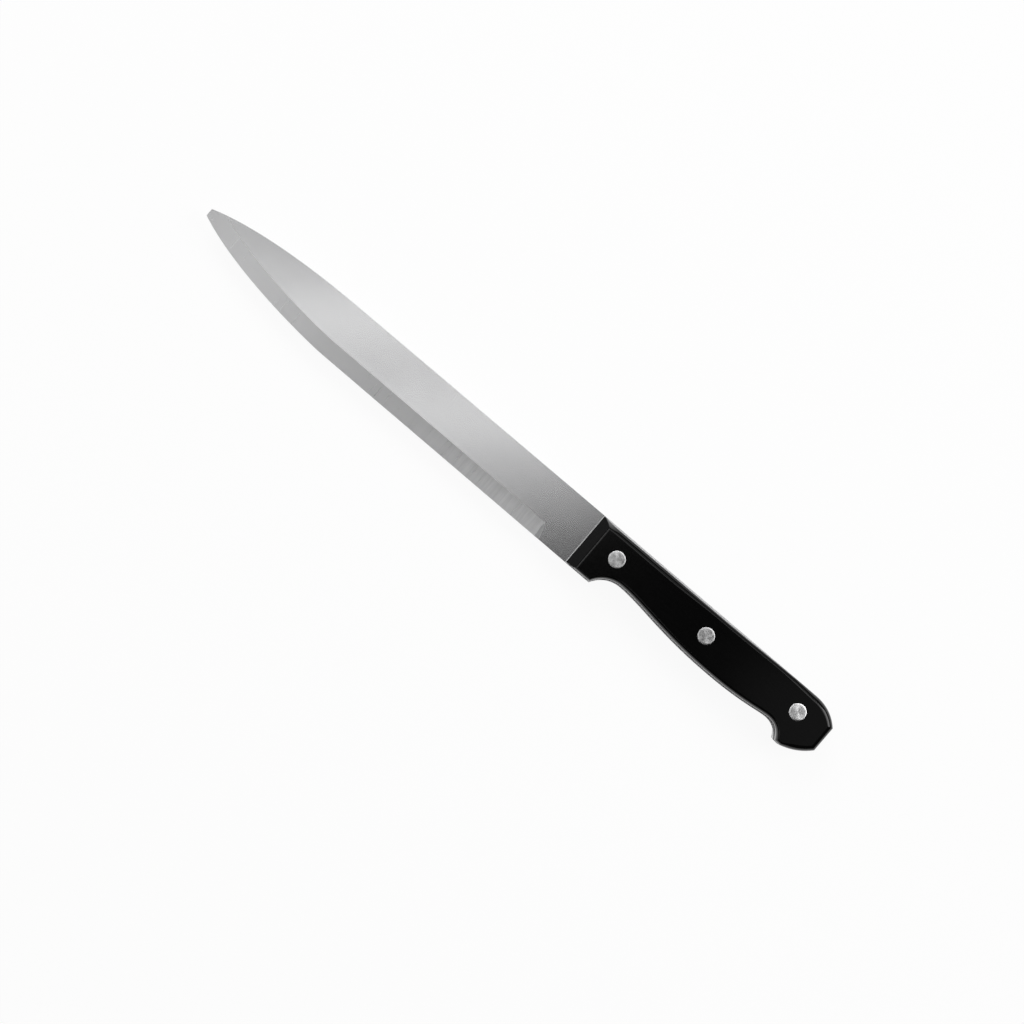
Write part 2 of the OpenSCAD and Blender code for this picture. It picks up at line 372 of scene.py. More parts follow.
def flip_over(obj):
    """Turns the piece into its mirror image on the other side of the steel."""
    edit(obj)
    bpy.ops.mesh.select_all(action="SELECT")
    bpy.ops.transform.resize(value=(1, 1, -1), center_override=(0, 0, MIDDLE))
    bpy.ops.mesh.normals_make_consistent(inside=False)
    leave_edit()


def cylinder(name, x, y, low, high, diameter):
    """An upright cylinder, with its place in its mesh."""
    deselect()
    bpy.ops.mesh.primitive_cylinder_add(
        vertices=ROUND_SIDES, radius=diameter / 2 * MM, depth=(high - low) * MM,
        location=place(x, y, (low + high) / 2),
    )
    obj = bpy.context.object
    obj.name = obj.data.name = name
    bpy.ops.object.transform_apply(location=True)
    return obj


# Blade

# Length of the bevel's run-out near the heel, at the flat and then added towards the edge
RUNOUT = 2.5
RUNOUT_MORE = 1.7
# Stretch of that run-out, from its outer end, over which the surface drops, and its steps
RUNOUT_DROP = (0.05, 0.75)
RUNOUT_STEPS = 16
# Rows of the bevel's surface, as shares of the way from the edge (0) up to the flat (1)
BEVEL_ROWS = (-0.12, 0.0, 0.15, 0.3, 0.45, 0.6, 0.75, 0.9, 1.0, 1.08)
# Stations on the straight part of the edge, and how far the cutter goes on past the tip
STRAIGHT_STATIONS = (-PLUNGE_X, -60.0, -100.0)
TIP_OVERRUN = 4
# Height of the cutter's roof over the middle of the steel
CUTTER_ROOF = 4


def bevel_rows():
    """Rows of points of the cutter that grinds the bevel, from outside the edge to above the flat."""
    line = [(x, -EDGE_RISE * x / EDGE_BEND - BLADE_W) for x in STRAIGHT_STATIONS] + edge_line()
    end = (Vector(line[-1]) - Vector(line[-2])).normalized()
    line.append(tuple(Vector(line[-1]) + TIP_OVERRUN * end))
    inward = []
    for i, point in enumerate(line):
        before = line[i - 1] if i else (point[0] + 1, point[1])
        after = line[i + 1] if i + 1 < len(line) else tuple(Vector(point) + end)
        inward.append(-mitre(before, point, after))
    rows = []
    for part in BEVEL_ROWS:
        row = []
        for k in range(RUNOUT_STEPS + 1):
            share = k / RUNOUT_STEPS
            depth = ease(share, RUNOUT_DROP)
            x = -PLUNGE_X + (1 - share) * (RUNOUT + RUNOUT_MORE * max(0.0, 1 - part))
            z = EDGE_T / 2 + (HALF_T - EDGE_T / 2) * part
            row.append(place(x, line[0][1] + part * BEVEL_W, z * depth + (HALF_T + LIFT) * (1 - depth)))
        for point, normal in zip(line, inward):
            top = HALF_T + TAPER * point[0]
            row.append(place(
                point[0] + normal.x * part * BEVEL_W, point[1] + normal.y * part * BEVEL_W,
                EDGE_T / 2 + (top - EDGE_T / 2) * part,
            ))
        rows.append(row)
    return rows


def bevel_cutter():
    """The grinding cutter of the upper side: the bevel's surface with a block above it."""
    rows = bevel_rows()
    obj = trace("bevel_cutter", rows, closed=False)
    bridge_rows(obj, len(rows[0]), len(rows))
    bpy.ops.mesh.select_all(action="SELECT")
    extrude(0, 0, CUTTER_ROOF * MM)
    # Level the roof of the block
    bpy.ops.transform.resize(value=(1, 1, 0), center_override=(0, 0, MIDDLE + CUTTER_ROOF * MM))
    close_seams()
    leave_edit()
    return obj


def steel_outline():
    """Outline of the blade and its tang, round from the handle's front along the spine and the tip."""
    lower = lower_side()
    upper = [(x, crown(x)) for x, _ in lower]
    return (
        [(0.0, 0.0)] + spine_line() + edge_line()[::-1]
        + [(0.0, -BLADE_W), (0.0, -BLOCK_DROP)] + lower + upper[::-1]
    )


def make_blade():
    """The steel: cut out, tapered from a seam in front of the handle, ground and drilled."""
    obj = trace("blade_steel", [[place(x, y, HALF_T) for x, y in steel_outline()]], closed=True)
    bpy.ops.mesh.select_all(action="SELECT")
    bpy.ops.mesh.edge_face_add()
    extrude(0, 0, -BLADE_T * MM)
    bpy.ops.mesh.select_all(action="SELECT")
    seam = place(TAPER_START, 0, 0)
    bpy.ops.mesh.bisect(plane_co=seam, plane_no=(1, 0, 0), threshold=0.0001 * MM)
    for side in (1, -1):
        bpy.ops.mesh.select_all(action="DESELECT")
        pick(obj, "verts", lambda v: v.co.x < seam.x - NEAR * MM and (v.co.z - MIDDLE) * side > 0)
        bpy.ops.transform.rotate(
            value=side * math.atan(TAPER), orient_axis="Y",
            center_override=(seam.x, seam.y, MIDDLE + side * HALF_T * MM),
        )
    close_seams()
    leave_edit()
    upper = bevel_cutter()
    lower = copy_of(upper, "bevel_cutter_below")
    flip_over(lower)
    holes = [
        cylinder("tang_hole", x, y, -HALF_T - OVERLAP, HALF_T + OVERLAP, TUBE_D + 2 * TANG_CLEAR)
        for x, y in RIVETS.values()
    ]
    cut_away(obj, upper, lower, *holes)
    # The cuts leave a corner of the cutting edge open
    edit(obj)
    close_seams()
    bpy.ops.mesh.fill_holes(sides=4)
    bpy.ops.mesh.normals_make_consistent(inside=False)
    leave_edit()
    return obj


# Handle scales

# Steps of the shoulder between a scale's wall and its face
SHOULDER_STEPS = 10
# How far the two corners of a flat shoulder are rounded, as shares of its width
LOWER_SOFT = 0.12
UPPER_SOFT = 0.5
# Shares of the steps at which its lower corner is done and its upper corner starts
LOWER_DONE = 0.3
UPPER_STARTS = 0.5
# Columns of the outline near the front, where the choil arc hasn't started yet
FRONT_COLUMNS = (0.0, 0.7, 1.4, 2.1, 2.8, 3.5, 4.2, 5.0, 6.0, 7.0, 8.0, 10.0)
# Rounds of drawing those columns back until the first lies on the sloping front
DRAW_ROUNDS = 30
# Fillet of the edges round the sloping front, and of the rims of the rivet seats
FRONT_FILLET = 0.3
SEAT_FILLET = 0.06
# How far back the ridge between the sloping front and the face is rounded, and in how many steps
RIDGE_FILLET = 0.6
RIDGE_STEPS = 6
# A hair's breadth, by which the ridge's cutter stands clear of the faces
HAIR = 0.004


def side_above(x):
    """Along the spine: the foot's inset, the wall's height, the shoulder's width and its roundness."""
    front = 1 - ease(x, LEDGE_BEGINS)
    return (
        LEDGE * (1 - front) * (1 - (1 - LEDGE_AT_BUTT) * ease(x, LEDGE_ENDS)),
        max(NEAR, SPINE_WALL * ease(x, WALL_BEGINS)) - SPINE_DIP * ease(x, WALL_ENDS),
        TOP_BEVEL + front * LEDGE + (POMMEL_ROUND - TOP_BEVEL) * ease(x, ROUND_GROWS),
        ease(x, BEVEL_TURNS),
    )


def side_below(x):
    """The same along the belly."""
    belly = ease(x, BELLY_BEGINS)
    return (
        LEDGE * (LEDGE_AT_BLOCK + (LEDGE_AT_BELLY - LEDGE_AT_BLOCK) * belly)
        * (1 - (1 - LEDGE_AT_BUTT) * ease(x, BELLY_LEDGE_ENDS)),
        BELLY_WALL - BELLY_DIP * ease(x, BELLY_WALL_ENDS),
        BLOCK_ROUND + (BELLY_ROUND - BLOCK_ROUND) * ease(x, BELLY_ROUNDS)
        - (BELLY_ROUND - HOOK_ROUND) * ease(x, HOOK_ROUNDS)
        + (POMMEL_ROUND - HOOK_ROUND) * ease(x, POMMEL_ROUNDS),
        1.0,
    )


def shoulder(step, roundness):
    """How far the shoulder has gone inwards and upwards at a step, both from 0 to 1."""
    t = step / SHOULDER_STEPS
    if t <= LOWER_DONE:
        u = t / LOWER_DONE
        flat = (LOWER_SOFT * u * u, LOWER_SOFT * (u * u - (1 - u) ** 2))
    elif t <= UPPER_STARTS:
        along = (t - LOWER_DONE) / (UPPER_STARTS - LOWER_DONE)
        u = LOWER_SOFT + (1 - UPPER_SOFT - LOWER_SOFT) * along
        flat = (u, u)
    else:
        u = (t - UPPER_STARTS) / (1 - UPPER_STARTS)
        flat = (1 - UPPER_SOFT + 2 * UPPER_SOFT * u, 1 - UPPER_SOFT * (1 - u) ** 2)
    turn = math.radians(90 * t)
    curved = (1 - math.cos(turn), math.sin(turn))
    return tuple(roundness * a + (1 - roundness) * b for a, b in zip(curved, flat))


def section(side, x, level):
    """Inset and height of a scale's surface at x, on the level -1 (its foot) or a shoulder's step."""
    foot, wall, width, roundness = side(x)
    if level < 0:
        return foot, HALF_T
    inwards, upwards = shoulder(level, roundness)
    rise = max((HALF_H - HALF_T - wall) * upwards, -wall * (1 - level / SHOULDER_STEPS) / 2)
    return foot + WALL_LEAN + width * inwards, HALF_T + wall + rise


def front_columns(side, level):
    """The columns near the front, drawn back so that the first lies on the sloping front."""
    start = 0.0
    for _ in range(DRAW_ROUNDS):
        start = FRONT_SLOPE * (section(side, start, level)[1] - HALF_T) / (HALF_H - HALF_T)
    return [start + x * (1 - start / FRONT_COLUMNS[-1]) for x in FRONT_COLUMNS]


def scale_rows():
    """Rings of a scale, from its foot on the steel up to its face."""
    behind = lower_side()
    rows = []
    for level in range(-1, SHOULDER_STEPS + 1):
        low = [(x, -BLOCK_DROP) for x in front_columns(side_below, level)] + behind
        high = [(x, 0.0) for x in front_columns(side_above, level)] + [(x, crown(x)) for x, _ in behind]
        chain = [(p, side_below) for p in low] + [(p, side_above) for p in high[::-1]]
        row = []
        for i, (point, side) in enumerate(chain):
            before = chain[i - 1][0] if i else (point[0] - 1, point[1])
            after = chain[i + 1][0] if i + 1 < len(chain) else (point[0] - 1, point[1])
            normal = mitre(before, point, after)
            inwards, height = section(side, point[0], level)
            row.append(place(point[0] + normal.x * inwards, point[1] + normal.y * inwards, height))
        rows.append(row)
    return rows


def ridge_cutter():
    """Cutter that rounds the ridge between the sloping front and the face. It crosses both a hair
    outside the round, so that no two faces touch."""
    turn = math.atan2(HALF_H - HALF_T, FRONT_SLOPE)
    radius = RIDGE_FILLET / math.tan(turn / 2)
    centre = (FRONT_SLOPE + RIDGE_FILLET, HALF_H - radius - HAIR)
    profile = arc(centre, radius, 90, 90 + math.degrees(turn), steps=RIDGE_STEPS)
    x, z = profile[-1]
    clear = 10 * HAIR
    behind = centre[0] + RIDGE_FILLET / 2
    profile.append((x - RIDGE_FILLET * math.cos(turn) - 2 * clear, z - RIDGE_FILLET * math.sin(turn)))
    profile.append((FRONT_SLOPE - 2 * RIDGE_FILLET, HALF_H + RIDGE_FILLET))
    profile.append((behind, HALF_H + RIDGE_FILLET))
    profile.append((behind, HALF_H + clear))
    obj = trace("ridge_cutter", [[place(x, OVERLAP, z) for x, z in profile]], closed=True)
    bpy.ops.mesh.select_all(action="SELECT")
    bpy.ops.mesh.edge_face_add()
    extrude(0, -(BLOCK_DROP + 2 * OVERLAP) * MM, 0)
    close_seams()
    leave_edit()
    return obj


def on_front(point):
    """Whether a point lies on the sloping front."""
    x, z = (point.x - HANDLE_FRONT) / MM, (point.z - MIDDLE) / MM
    return abs(x - FRONT_SLOPE * (z - HALF_T) / (HALF_H - HALF_T)) < NEAR


def on_rim(point):
    """Whether a point lies on the rim of a rivet seat, in the upper face."""
    if abs(point.z - place(0, 0, HALF_H).z) > NEAR * MM:
        return False
    reaches = [(point - place(x, y, 0)).xy.length for x, y in RIVETS.values()]
    return any(abs(reach - HEAD_D / 2 * MM) < NEAR * MM for reach in reaches)


def make_scale(name):
    """The scale on the upper side."""
    rows = scale_rows()
    count = len(rows[0])
    obj = trace(name, rows, closed=True)
    bridge_rows(obj, count, len(rows))
    for first in (0, (len(rows) - 1) * count):
        pick_rows(obj, first, first + count)
        bpy.ops.mesh.edge_face_add()
    # The strips of the sloping front become one face
    bpy.ops.mesh.select_mode(type="FACE")
    bpy.ops.mesh.select_all(action="DESELECT")
    pick(obj, "faces", lambda f: all(on_front(v.co) for v in f.verts))
    bpy.ops.mesh.dissolve_faces()
    # Its edges are rounded, except where it stands on the steel
    bpy.ops.mesh.select_mode(type="EDGE")
    bpy.ops.mesh.select_all(action="DESELECT")
    foot = place(0, 0, HALF_T + NEAR).z

    def on_upper_front(edge):
        points = [v.co for v in edge.verts]
        return all(on_front(point) for point in points) and any(point.z > foot for point in points)

    pick(obj, "edges", on_upper_front)
    bpy.ops.mesh.bevel(offset=FRONT_FILLET * MM, segments=4, affect="EDGES", clamp_overlap=True)
    close_seams()
    leave_edit()
    cutters = [ridge_cutter()]
    for x, y in RIVETS.values():
        cutters.append(cylinder("tube_hole", x, y, 0, HANDLE_T, TUBE_D))
        cutters.append(cylinder("head_seat", x, y, HALF_H - HEAD_H, HANDLE_T, HEAD_D))
    cut_away(obj, *cutters)
    edit(obj, "EDGE")
    pick(obj, "edges", lambda e: all(on_rim(v.co) for v in e.verts))
    bpy.ops.mesh.bevel(offset=SEAT_FILLET * MM, segments=2, affect="EDGES", clamp_overlap=False)
    leave_edit()
    return obj


# Rivets

# Lowering of a head's rim below its middle, which stands level with the scale
HEAD_CROWN = 0.06
HEAD_CHAMFER = 0.14
# Steps from the rim to the middle, as insets and rises: over the chamfer, then over the crown
HEAD_STEPS = (
    (HEAD_CHAMFER * 0.3, HEAD_CHAMFER * 0.6), (HEAD_CHAMFER * 0.7, HEAD_CHAMFER * 0.4),
    (0.6, 0.025), (0.9, 0.02), (1.0, 0.015),
)
# A face with an upright normal longer than this is level
LEVEL = 0.9


def inset(width):
    bpy.ops.mesh.inset(thickness=width * MM)


def make_head(name, x, y):
    """A rivet's head on the upper side, slightly crowned, with its plain underside selected."""
    obj = cylinder(name, x, y, HALF_H - HEAD_H, HALF_H, HEAD_D)
    edit(obj, "FACE")
    pick(obj, "faces", lambda f: f.normal.z > LEVEL)
    bpy.ops.transform.translate(value=(0, 0, -(HEAD_CROWN + HEAD_CHAMFER) * MM))
    for width, rise in HEAD_STEPS:
        inset(width)
        bpy.ops.transform.translate(value=(0, 0, rise * MM))
    bpy.ops.mesh.select_all(action="DESELECT")
    pick(obj, "faces", lambda f: f.normal.z < -LEVEL)
    return obj


def make_female(name, x, y):
    """The half with the tube."""
    obj = make_head(name, x, y)
    inset((HEAD_D - TUBE_D) / 2)
    extrude(0, 0, -TUBE_REACH * MM)
    inset((TUBE_D - PIN_D) / 2)
    extrude(0, 0, TUBE_REACH * MM)
    close_seams()
    leave_edit()
    return obj


def make_male(name, x, y):
    """The half with the pin, turned over to the other side."""
    obj = make_head(name, x, y)
    inset((HEAD_D - PIN_D) / 2)
    extrude(0, 0, -TUBE_REACH * MM)
    close_seams()
    leave_edit()
    flip_over(obj)
    return obj


# Shading and finishes

# Edges up to this angle are shaded smooth
SMOOTH_ANGLE = math.radians(30)
# How far a face of the steel looks up or down, from 0 to 1: more than the first on the flats,
# more than the second on the bevel, between the last two on the steep part of its run-out
FLAT_UPRIGHT = 0.9995
BEVEL_UPRIGHT = 0.97
STEEP_UPRIGHT = (0.5, 0.992)
# How far in front of the handle the flats and the bevel's finish end
FLAT_GAP = 0.4
BEVEL_GAP = 2.0
# Where the run-out ends, and a height that the whole of it lies below
RUNOUT_END_X = -10.0
RUNOUT_TOP_Y = -15.0


def soften(obj):
    """Smooth shading over low edges, with the large faces kept flat."""
    take(obj)
    bpy.ops.object.shade_smooth_by_angle(angle=SMOOTH_ANGLE)
    apply_modifier(obj, "WEIGHTED_NORMAL", keep_sharp=True)


def upright(face):
    """How far a face looks up or down, from 0 to 1."""
    return abs(face.normal.z)


def in_front(face, gap):
    """Whether the face's middle lies that far in front of the handle."""
    return face.calc_center_median().x < HANDLE_FRONT - gap * MM


def on_flat(face):
    return upright(face) > FLAT_UPRIGHT and in_front(face, FLAT_GAP)


def on_bevel(face):
    return BEVEL_UPRIGHT < upright(face) <= FLAT_UPRIGHT and in_front(face, BEVEL_GAP)


def on_runout_painted_shade(face):
    """Whether a face belongs to the steep part of the bevel's run-out near the heel, which is painted
    darker as shade.
    """
    middle = face.calc_center_median()
    start = place(-PLUNGE_X, 0, 0)
    end = place(RUNOUT_END_X, RUNOUT_TOP_Y, 0)
    steep = STEEP_UPRIGHT[0] < upright(face) < STEEP_UPRIGHT[1]
    return steep and start.x < middle.x < end.x and middle.y < end.y


def keep_grind_crisp(obj):
    """Marks the lines between the flats and the bevels as sharp."""
    edit(obj, "EDGE")

    def on_grind_line(edge):
        sides = [upright(face) for face in edge.link_faces]
        return len(sides) == 2 and BEVEL_UPRIGHT < min(sides) <= FLAT_UPRIGHT < max(sides)

    pick(obj, "edges", on_grind_line)
    bpy.ops.mesh.mark_sharp()
    leave_edit()


def paint(obj, material, wanted=None):
    """Gives the whole piece, or the faces that wanted() says yes to, a material."""
    obj.data.materials.append(material)
    if wanted is None:
        return
    edit(obj, "FACE")
    pick(obj, "faces", wanted)
    obj.active_material_index = len(obj.data.materials) - 1
    bpy.ops.object.material_slot_assign()
    leave_edit()


# Materials

# Tones of each finish, from its darkest to its lightest. On a rivet head they are stained and clean
# metal, with painted light on top: each head's pair is set lighter or darker, the rear one lightest.
POLISH_TONES = (0.62, 0.66)
EDGE_TONES = (0.55, 0.69)
# The heel's tones are painted shade: the steep part of the run-out is darkened in its colour.
HEEL_PAINTED_SHADE_TONES = (0.36, 0.46)
CUT_TONES = (0.7, 0.82)
PLASTIC_TONES = (0.0006, 0.0011)
HEAD_PAINTED_LIGHT_TONES = {"front": (0.45, 0.71), "middle": (0.42, 0.66), "rear": (0.7, 0.89)}
# How much more blue than red and green the steel has
STEEL_BLUE = 0.005
# Where the grinding lines begin and are full, in front of the end of the bevel
LINES_BEGIN = 75.0
LINES_FULL = 25.0
# Width and strength of the darker band under the bevel's upper line
TOP_DARKENING_W = 3.0
TOP_DARKENING = 0.1


class Finish:
    """A material under construction: a Principled shader and the texture nodes that feed it."""

    def __init__(self, name, **sockets):
        self.material = bpy.data.materials.new(name)
        self.material.use_nodes = True
        self.nodes = self.material.node_tree.nodes
        self.nodes.clear()
        output = self.nodes.new("ShaderNodeOutputMaterial")
        self.shader = self.nodes.new("ShaderNodeBsdfPrincipled")
        self.link(self.shader.outputs[0], output.inputs[0])
        self.place = self.nodes.new("ShaderNodeTexCoord").outputs["Object"]
        for socket, value in sockets.items():
            self.shader.inputs[socket.replace("_", " ")].default_value = value

    def link(self, source, target):
        self.material.node_tree.links.new(source, target)

    def noise(self, scale, detail=2.0, roughness=0.5):
        """Noise with its own count per metre along x, y and z."""
        mapping = self.nodes.new("ShaderNodeMapping")
        mapping.inputs["Scale"].default_value = scale
        self.link(self.place, mapping.inputs["Vector"])
        texture = self.nodes.new("ShaderNodeTexNoise")
        texture.inputs["Scale"].default_value = 1.0
        texture.inputs["Detail"].default_value = detail
        texture.inputs["Roughness"].default_value = roughness
        self.link(mapping.outputs[0], texture.inputs["Vector"])
        return texture.outputs["Fac"]

    def ramp(self, value, low, high, start=0.3, end=0.7):
        """Blend from low to high while the value goes from start to end."""
        node = self.nodes.new("ShaderNodeMapRange")
        node.inputs["From Min"].default_value = start
        node.inputs["From Max"].default_value = end
        node.inputs["To Min"].default_value = low
        node.inputs["To Max"].default_value = high
        self.link(value, node.inputs["Value"])
        return node.outputs["Result"]

    def sum(self, kind, a, b):
        """A sum of that kind, each of its two terms a number or an output."""
        node = self.nodes.new("ShaderNodeMath")
        node.operation = kind
        for socket, value in zip(node.inputs, (a, b)):
            if isinstance(value, float):
                socket.default_value = value
            else:
                self.link(value, socket)
        return node.outputs[0]

    def blend(self, a, b, share):
        """Mean of two outputs, the second with the given share."""
        return self.sum("ADD", self.sum("MULTIPLY", a, 1 - share), self.sum("MULTIPLY", b, share))

    def tone(self, value, tones, blue=0.0, start=0.3, end=0.7):
        """Base colour between two tones of grey, while the value goes from start to end."""
        node = self.nodes.new("ShaderNodeMix")
        node.data_type = "RGBA"
        for socket in node.inputs:
            if socket.type == "RGBA":
                grey = tones[0] if socket.name == "A" else tones[1]
                socket.default_value = (grey, grey, grey + blue, 1)
        self.link(self.ramp(value, 0.0, 1.0, start, end), node.inputs["Factor"])
        self.link([o for o in node.outputs if o.type == "RGBA"][0], self.shader.inputs["Base Color"])

    def rough(self, value, low, high):
        self.link(self.ramp(value, low, high), self.shader.inputs["Roughness"])

    def bump(self, value, height, strength):
        """Raises the surface by up to that height in millimetres."""
        node = self.nodes.new("ShaderNodeBump")
        node.inputs["Strength"].default_value = strength
        node.inputs["Distance"].default_value = height * MM
        self.link(value, node.inputs["Height"])
        self.link(node.outputs[0], self.shader.inputs["Normal"])


def polished_flat():
    """The flats of the blade: fine satin polish with faint clouds and hairlines."""
    finish = Finish("blade_flat_polish", Metallic=1.0)
    clouds = finish.noise((70, 90, 60), detail=3)
    hairs = finish.noise((2600, 140, 900), detail=3)
    finish.tone(finish.blend(clouds, hairs, 0.2), POLISH_TONES, STEEL_BLUE)
    finish.rough(clouds, 0.15, 0.165)
    return finish.material


def ground_steel(name, tones):
    """The ground bevel: grinding lines square to the edge, clearest towards the heel, and a darker
    band along its upper line."""
    finish = Finish(name, Metallic=1.0)
    coarse = finish.noise((560, 26, 26), detail=4, roughness=0.65)
    fine = finish.noise((4200, 160, 160), detail=2)
    lines = finish.blend(coarse, fine, 0.4)
    axes = finish.nodes.new("ShaderNodeSeparateXYZ")
    finish.link(finish.place, axes.inputs[0])
    begin = place(-PLUNGE_X - LINES_BEGIN, 0, 0).x
    full = place(-PLUNGE_X - LINES_FULL, 0, 0).x
    clear = finish.ramp(axes.outputs["X"], 0.05, 1.0, begin, full)
    swing = finish.sum("MULTIPLY", finish.sum("SUBTRACT", lines, 0.5), clear)
    top = place(0, BEVEL_W - BLADE_W, 0).y
    top_band = finish.ramp(axes.outputs["Y"], 0.0, TOP_DARKENING, top - TOP_DARKENING_W * MM, top)
    top_darkening = finish.sum("MULTIPLY", top_band, clear)
    shade = finish.sum("SUBTRACT", finish.sum("ADD", swing, 0.5), top_darkening)
    finish.tone(shade, tones, STEEL_BLUE, 0.35, 0.65)
    finish.rough(lines, 0.26, 0.34)
    finish.bump(swing, height=0.003, strength=0.3)
    return finish.material


def cut_steel():
    """Spine, tang and all cut edges of the steel: duller, with fine lines along the cut."""
    finish = Finish("cut_steel", Metallic=1.0)
    lines = finish.noise((300, 1800, 5200), detail=3)
    finish.tone(lines, CUT_TONES, STEEL_BLUE)
    finish.rough(lines, 0.46, 0.58)
    finish.bump(lines, height=0.006, strength=0.4)
    return finish.material


def moulded_plastic():
    """Black plastic with the faint unevenness of a moulding and fine handling marks."""
    finish = Finish("black_moulding", Specular_IOR_Level=0.36)
    skin = finish.noise((900, 900, 900), detail=4)
    marks = finish.noise((120, 1500, 300), detail=4, roughness=0.7)
    finish.tone(skin, PLASTIC_TONES)
    finish.rough(marks, 0.1, 0.14)
    finish.bump(skin, height=0.004, strength=0.15)
    return finish.material


def turned_head_painted_light(name, x, y):
    """A rivet head: fine rings from turning round its own middle, a few stains, and painted light in
    its tones, set for each head.
    """
    finish = Finish("turned_head_painted_light_" + name, Metallic=1.0, Anisotropic=0.75)
    middle = place(x, y, 0)
    mapping = finish.nodes.new("ShaderNodeMapping")
    mapping.inputs["Location"].default_value = (-middle.x, -middle.y, 0)
    finish.link(finish.place, mapping.inputs["Vector"])
    rings = finish.nodes.new("ShaderNodeTexWave")
    rings.wave_type = "RINGS"
    rings.rings_direction = "Z"
    rings.inputs["Scale"].default_value = 900.0
    rings.inputs["Distortion"].default_value = 1.2
    rings.inputs["Detail"].default_value = 2.0
    rings.inputs["Detail Scale"].default_value = 1.0
    finish.link(mapping.outputs[0], rings.inputs["Vector"])
    # The marks run round the middle, which spreads the shine outwards from it
    way_round = finish.nodes.new("ShaderNodeVectorMath")
    way_round.operation = "CROSS_PRODUCT"
    way_round.inputs[1].default_value = (0, 0, 1)
    finish.link(mapping.outputs[0], way_round.inputs[0])
    unit = finish.nodes.new("ShaderNodeVectorMath")
    unit.operation = "NORMALIZE"
    finish.link(way_round.outputs[0], unit.inputs[0])
    finish.link(unit.outputs[0], finish.shader.inputs["Tangent"])
    stains = finish.noise((900, 900, 900), detail=4, roughness=0.6)
    # Each head's tones hold painted light: one metal, made lighter or darker for each head.
    finish.tone(stains, HEAD_PAINTED_LIGHT_TONES[name], start=0.35, end=0.65)
    finish.rough(stains, 0.32, 0.42)
    finish.bump(rings.outputs["Fac"], height=0.01, strength=0.4)
    return finish.material


# The knife

blade = make_blade()
keep_grind_crisp(blade)
paint(blade, cut_steel())
paint(blade, polished_flat(), on_flat)
paint(blade, ground_steel("edge_grind", EDGE_TONES), on_bevel)
# The steep part of the run-out gets the grind in darker tones, as painted shade.
paint(blade, ground_steel("heel_grind_painted_shade", HEEL_PAINTED_SHADE_TONES), on_runout_painted_shade)
soften(blade)
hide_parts("blade")

plastic = moulded_plastic()
scale_left = make_scale("handle_scale_left")
scale_right = copy_of(scale_left, "handle_scale_right")
flip_over(scale_right)
for scale, node in ((scale_left, "scale_left"), (scale_right, "scale_right")):
    paint(scale, plastic)
    soften(scale)
    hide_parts(node)

halves = []
for name, (x, y) in RIVETS.items():
    turned = turned_head_painted_light(name, x, y)
    for make, kind in ((make_female, "female"), (make_male, "male")):
        half = make("rivet_%s_%s_half" % (name, kind), x, y)
        paint(half, turned)
        soften(half)
        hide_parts("rivet_%s_%s" % (name, kind))
        halves.append(half)

for piece in (blade, scale_left, scale_right, *halves):
    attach(piece, "root")


# Camera

scene = bpy.context.scene
scene.view_settings.view_transform = "Standard"

# The camera looks straight down from this height above the steel, turned about its axis
CAMERA_HEIGHT = 767.0
CAMERA_FOOT = (-29.32, -22.89)
CAMERA_TURN = math.radians(40.4)
# Width of the picture at the height of the steel, and of the sensor behind the lens
PICTURE_W = 409.6
SENSOR_W = 36.0

camera_data = bpy.data.cameras.new("camera")
camera_data.sensor_width = SENSOR_W
camera_data.lens = SENSOR_W * CAMERA_HEIGHT / PICTURE_W
camera_data.clip_start = 0.01
camera_data.clip_end = 20.0
camera = bpy.data.objects.new("camera", camera_data)
scene.collection.objects.link(camera)
camera.location = place(*CAMERA_FOOT, CAMERA_HEIGHT)
camera.rotation_euler = (0, 0, CAMERA_TURN)
scene.camera = camera


# Floor and light, in metres

FLOOR_SIZE = 6
FLOOR_GREY = 0.9
# Share of plain white in what the camera, metal and gloss see of the floor
FLOOR_WHITE = 0.93
WORLD_LIGHT = 0.045
# Lamps that hang level above the knife: the middle of each to the right and up in the picture,
# its width and depth, its strength. Each hangs one step above the one before, so that no two
# lie in one plane.
LAMP_HEIGHT = 1.49
LAMP_STEP = 0.004
OVERHEAD = {
    "ceiling": ((-0.24, 0.3), (0.72, 0.6), 0.3),
    "bank_far": ((-0.225, 0.4425), (0.75, 0.315), 1.6),
    "strip_far": ((-0.225, 0.2305), (0.75, 0.051), 6.1),
    "strip_near": ((-0.225, 0.1135), (0.75, 0.075), 4.3),
    "strip_handle": ((-0.225, 0.0225), (0.75, 0.045), 2.4),
    "bank_near": ((-0.275, -0.375), (0.35, 0.25), 5.8),
    "bank_left": ((-0.69, -0.1), (0.18, 0.6), 6.0),
    "bank_right": ((0.8, 0.05), (0.4, 0.7), 5.0),
    "bank_rear": ((0.41, -0.34), (0.28, 0.32), 0.6),
    "bank_spine": ((0.5, 0.7), (0.6, 0.7), 5.0),
    "bank_corner": ((-0.85, 0.85), (0.5, 0.5), 10.0),
}
# Large softboxes that stand round the knife and face it: the middle and the strength of each
AROUND_HEIGHT = 1.0
AROUND_SIZE = (0.9, 0.9)
AROUND = {
    "side_left": ((-1.3, 0.0), 1.5),
    "side_right": ((1.3, 0.0), 14.0),
    "side_far": ((0.0, 1.3), 16.0),
    "side_far_left": ((-0.95, 0.95), 0.6),
    "side_far_right": ((0.95, 0.95), 1.2),
}


def in_picture(right, up, height):
    """A point by its way right and up in the picture from the camera's foot, and its height above
    the floor, all in metres."""
    foot = place(*CAMERA_FOOT, 0)
    return Vector((
        foot.x + right * math.cos(CAMERA_TURN) - up * math.sin(CAMERA_TURN),
        foot.y + right * math.sin(CAMERA_TURN) + up * math.cos(CAMERA_TURN),
        cad_low.z + height,
    ))


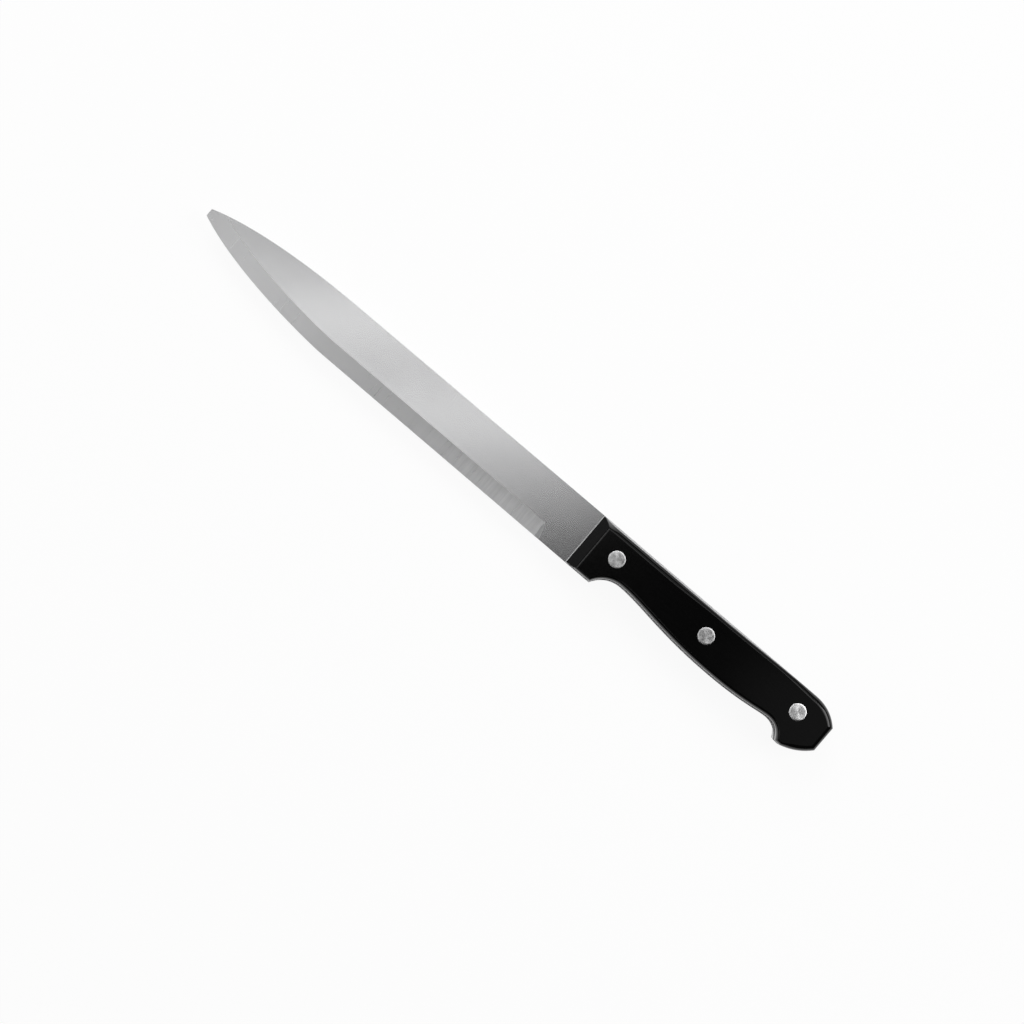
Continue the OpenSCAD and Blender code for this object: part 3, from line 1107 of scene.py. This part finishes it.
def softbox(name, where, size, strength, target):
    """A rectangular lamp that faces the target, with its width along the picture's width and its
    strength in watts for each square metre. Both places are given in the picture."""
    data = bpy.data.lights.new(name, "AREA")
    data.shape = "RECTANGLE"
    data.size, data.size_y = size
    data.energy = strength * size[0] * size[1]
    lamp = bpy.data.objects.new(name, data)
    scene.collection.objects.link(lamp)
    lamp.location = in_picture(*where)
    back = (lamp.location - in_picture(*target)).normalized()
    across = in_picture(1, 0, 0) - in_picture(0, 0, 0)
    across = (across - back * across.dot(back)).normalized()
    lamp.rotation_euler = Matrix((across, back.cross(across), back)).transposed().to_euler()
    lamp.visible_camera = False


def white_floor():
    """Pale floor that looks white to the camera, metal and gloss, and keeps some of the shadow."""
    material = bpy.data.materials.new("white_floor")
    material.use_nodes = True
    nodes, links = material.node_tree.nodes, material.node_tree.links
    nodes.clear()
    output = nodes.new("ShaderNodeOutputMaterial")
    cloth = nodes.new("ShaderNodeBsdfDiffuse")
    cloth.inputs["Color"].default_value = (FLOOR_GREY, FLOOR_GREY, FLOOR_GREY, 1)
    bright = nodes.new("ShaderNodeEmission")
    bright.inputs["Color"].default_value = (1, 1, 1, 1)
    path = nodes.new("ShaderNodeLightPath")
    seen = path.outputs["Is Camera Ray"]
    for ray in ("Is Glossy Ray", "Is Transmission Ray"):
        either = nodes.new("ShaderNodeMath")
        either.operation = "MAXIMUM"
        links.new(seen, either.inputs[0])
        links.new(path.outputs[ray], either.inputs[1])
        seen = either.outputs[0]
    share = nodes.new("ShaderNodeMath")
    share.operation = "MULTIPLY"
    share.inputs[1].default_value = FLOOR_WHITE
    mix = nodes.new("ShaderNodeMixShader")
    links.new(seen, share.inputs[0])
    links.new(share.outputs[0], mix.inputs[0])
    links.new(cloth.outputs[0], mix.inputs[1])
    links.new(bright.outputs[0], mix.inputs[2])
    links.new(mix.outputs[0], output.inputs[0])
    return material


deselect()
bpy.ops.mesh.primitive_plane_add(size=FLOOR_SIZE, location=(0, 0, cad_low.z))
bpy.ops.object.transform_apply(location=True)
floor = bpy.context.object
floor.name = floor.data.name = "floor"
edit(floor, "FACE")
bpy.ops.mesh.select_all(action="SELECT")
bpy.ops.mesh.subdivide(number_cuts=4)
leave_edit()
paint(floor, white_floor())

world = bpy.data.worlds.new("studio")
scene.world = world
world.use_nodes = True
background = world.node_tree.nodes["Background"]
background.inputs["Color"].default_value = (1, 1, 1, 1)
background.inputs["Strength"].default_value = WORLD_LIGHT

for number, (name, ((right, up), size, strength)) in enumerate(OVERHEAD.items()):
    height = LAMP_HEIGHT + number * LAMP_STEP
    softbox(name, (right, up, height), size, strength, target=(right, up, 0))
for name, ((right, up), strength) in AROUND.items():
    softbox(name, (right, up, AROUND_HEIGHT), AROUND_SIZE, strength, target=(0, 0, 0))
